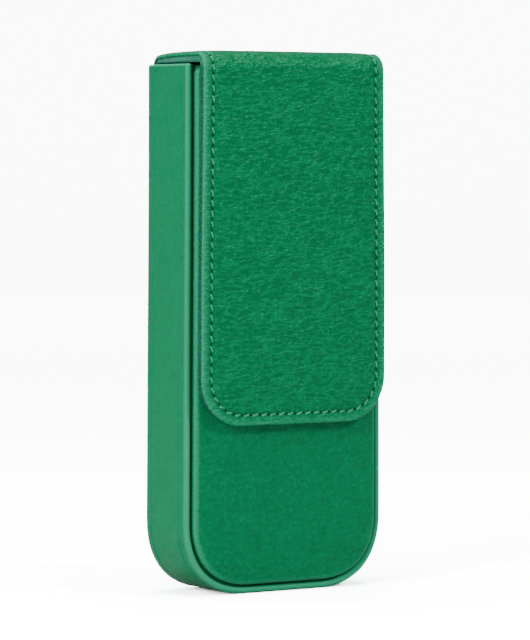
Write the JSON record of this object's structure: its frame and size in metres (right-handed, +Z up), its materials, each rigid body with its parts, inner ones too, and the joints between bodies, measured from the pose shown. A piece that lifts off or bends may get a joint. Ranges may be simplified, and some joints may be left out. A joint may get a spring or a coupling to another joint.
{
  "type": "leather pen case",
  "caption": "Upright rounded green leather pen case with a padded fold-over flap on hidden magnets and a lift-out suede tray with channels for pens.",
  "frame": {"origin": "middle of the closed case's bounding box, on the surface that it stands on", "axes": "+Z up towards the mouth, -Y is the front with the flap, +X to the right seen from the front"},
  "size_m": [0.0706, 0.03, 0.164],
  "materials": {
    "smooth_leather": "fine-grained smooth green leather",
    "microsuede": "teal-green microsuede",
    "grey_board": "stiff grey board",
    "foam": "thin padding foam",
    "steel": "plain steel disc"
  },
  "bodies": {
    "case": {"gusset_board": "grey_board", "gusset_leather": "smooth_leather", "gusset_lining": "microsuede", "front_lining": "microsuede", "front_board": "grey_board", "front_foam": "foam", "front_leather": "smooth_leather", "keeper_left": "steel", "keeper_right": "steel", "back_lining": "microsuede", "back_board": "grey_board", "back_foam": "foam", "back_leather": "smooth_leather"},
    "flap_bridge": {"spine_leather": "smooth_leather", "spine_suede": "microsuede"},
    "flap": {"flap_leather": "smooth_leather", "flap_foam": "foam", "flap_board": "grey_board", "flap_suede": "microsuede", "magnet_left": "steel", "magnet_right": "steel"},
    "tray": {"tray_core": "grey_board", "tray_cover": "microsuede", "tray_pad": "microsuede", "tray_band": "microsuede", "ridge_core_left": "grey_board", "ridge_cover_left": "microsuede", "ridge_core_right": "grey_board", "ridge_cover_right": "microsuede"}
  },
  "joints": [
    {"name": "flap_hinge", "type": "hinge", "parent": "case", "child": "flap_bridge", "pos_m": [0, 0.01357, 0.16155], "axis": [-1, 0, 0], "range_deg": [0, 180], "deforming": ["spine_leather", "spine_suede"]},
    {"name": "flap_fold", "type": "hinge", "parent": "flap_bridge", "child": "flap", "pos_m": [0, -0.01254, 0.16161], "axis": [-1, 0, 0], "range_deg": [0, 90]},
    {"name": "tray_slide", "type": "slide", "parent": "case", "child": "tray", "axis": [0, 0, 1], "range_m": [0, 0.165]}
  ]
}
